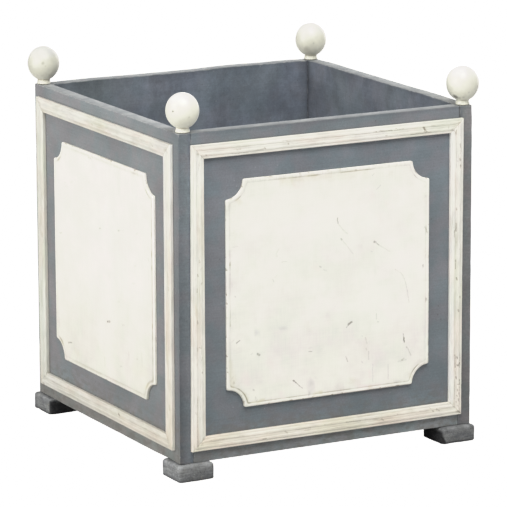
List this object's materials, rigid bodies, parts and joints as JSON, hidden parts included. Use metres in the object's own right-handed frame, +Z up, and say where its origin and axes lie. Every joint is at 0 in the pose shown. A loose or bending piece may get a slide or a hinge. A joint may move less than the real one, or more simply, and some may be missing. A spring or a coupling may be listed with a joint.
{
  "type": "versailles planter",
  "caption": "Square painted wooden tub planter on block feet, with mitred moulding frames, raised scooped-corner panels, ball finials at the corners and a slatted floor.",
  "frame": {"origin": "on the ground, under the middle of the box", "axes": "+Z up, the front face looks along -Y, +X to the right seen from the front"},
  "size_m": [0.5084, 0.5084, 0.5626],
  "materials": {
    "wall_paint": "blue-grey satin paint on wood, lightly worn",
    "moulding_paint": "cream-white satin paint on wood, rubbed and grubby in the hollows",
    "panel_paint": "cream-white satin paint on wood",
    "finial_paint": "cream-white satin paint on turned wood",
    "foot_paint": "grey matt paint on rough-sawn blocks, rubbed at the edges",
    "floor_wood": "bare planed softwood"
  },
  "bodies": {
    "root": {"board_front": "wall_paint", "board_back": "wall_paint", "board_left": "wall_paint", "board_right": "wall_paint", "moulding_front_top": "moulding_paint", "moulding_front_left": "moulding_paint", "moulding_front_bottom": "moulding_paint", "moulding_front_right": "moulding_paint", "panel_front": "panel_paint", "moulding_right_top": "moulding_paint", "moulding_right_left": "moulding_paint", "moulding_right_bottom": "moulding_paint", "moulding_right_right": "moulding_paint", "panel_right": "panel_paint", "moulding_back_top": "moulding_paint", "moulding_back_left": "moulding_paint", "moulding_back_bottom": "moulding_paint", "moulding_back_right": "moulding_paint", "panel_back": "panel_paint", "moulding_left_top": "moulding_paint", "moulding_left_left": "moulding_paint", "moulding_left_bottom": "moulding_paint", "moulding_left_right": "moulding_paint", "panel_left": "panel_paint", "finial_front_left": "finial_paint", "foot_front_left": "foot_paint", "finial_front_right": "finial_paint", "foot_front_right": "foot_paint", "finial_back_left": "finial_paint", "foot_back_left": "foot_paint", "finial_back_right": "finial_paint", "foot_back_right": "foot_paint", "floor_bearer_left": "floor_wood", "floor_bearer_right": "floor_wood", "floor_slat_1": "floor_wood", "floor_slat_2": "floor_wood", "floor_slat_3": "floor_wood", "floor_slat_4": "floor_wood", "floor_slat_5": "floor_wood"}
  },
  "joints": []
}
